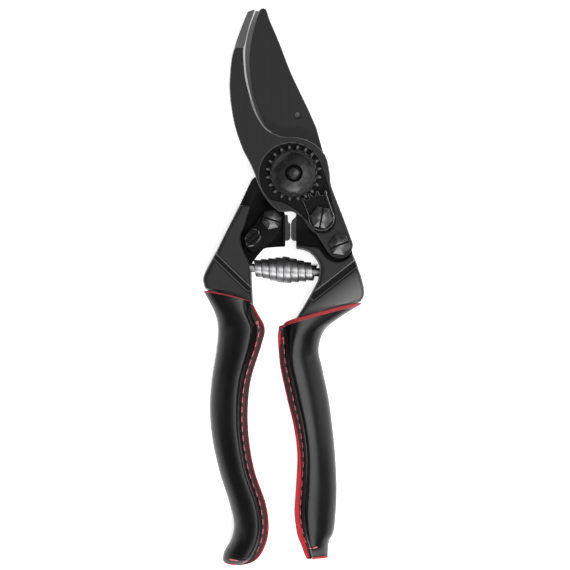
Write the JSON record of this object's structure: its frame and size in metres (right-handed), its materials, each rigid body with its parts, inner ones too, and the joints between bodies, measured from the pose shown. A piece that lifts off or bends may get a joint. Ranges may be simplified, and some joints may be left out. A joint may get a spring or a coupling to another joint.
{
  "type": "pruning shears",
  "caption": "Bypass pruning shears: curved cutting blade and hooked counter blade on a toothed pivot nut, sprung forged handles with leather grips and a thumb catch",
  "frame": {"origin": "centre of the pivot bolt head's flat back, on the pivot axis; the shears lie on their back, jaws closed", "axes": "+Y towards the jaws' tips, +Z along the pivot axis towards the toothed nut, +X to the side of the handle that carries the counter blade"},
  "size_m": [0.0563, 0.1951, 0.017],
  "materials": {
    "forged_alloy_black": "black satin coating on forged light alloy",
    "blade_steel": "dark coated steel, brushed lengthwise, bright ground edges",
    "black_hardware": "black oxide screws and nut with a soft sheen",
    "bright_steel": "plain zinc-plated steel",
    "rubber": "black moulded rubber",
    "leather_black": "black smooth leather with a soft gloss",
    "leather_red": "red cut edge and lining of the leather",
    "thread_red": "red waxed thread"
  },
  "bodies": {
    "left_side": {"left_handle": "forged_alloy_black", "cutting_blade": "blade_steel", "blade_screw": "black_hardware", "pivot_bush": "bright_steel", "left_buffer": "rubber", "left_spring_peg": "bright_steel", "catch_screw": "black_hardware", "catch_washer": "bright_steel", "left_cover": "leather_black", "left_rim": "leather_red", "left_seam": "thread_red", "volute_spring": "bright_steel"},
    "right_side": {"right_handle": "forged_alloy_black", "counter_blade": "blade_steel", "pivot_bolt": "black_hardware", "pivot_nut": "black_hardware", "locking_segment": "black_hardware", "segment_screw": "black_hardware", "hook_screw": "black_hardware", "hook_dowel": "bright_steel", "right_buffer": "rubber", "right_spring_peg": "bright_steel", "right_cover": "leather_black", "right_rim": "leather_red", "right_seam": "thread_red"},
    "catch": {"thumb_catch": "forged_alloy_black"}
  },
  "joints": [
    {"name": "pivot", "type": "hinge", "parent": "left_side", "child": "right_side", "pos_m": [0, 0, 0], "axis": [0, 0, 1], "range_deg": [0, 30], "deforming": ["volute_spring"]},
    {"name": "catch_turn", "type": "hinge", "parent": "left_side", "child": "catch", "pos_m": [-0.0078, -0.0162, 0], "axis": [0, 0, 1], "range_deg": [0, 20]}
  ]
}
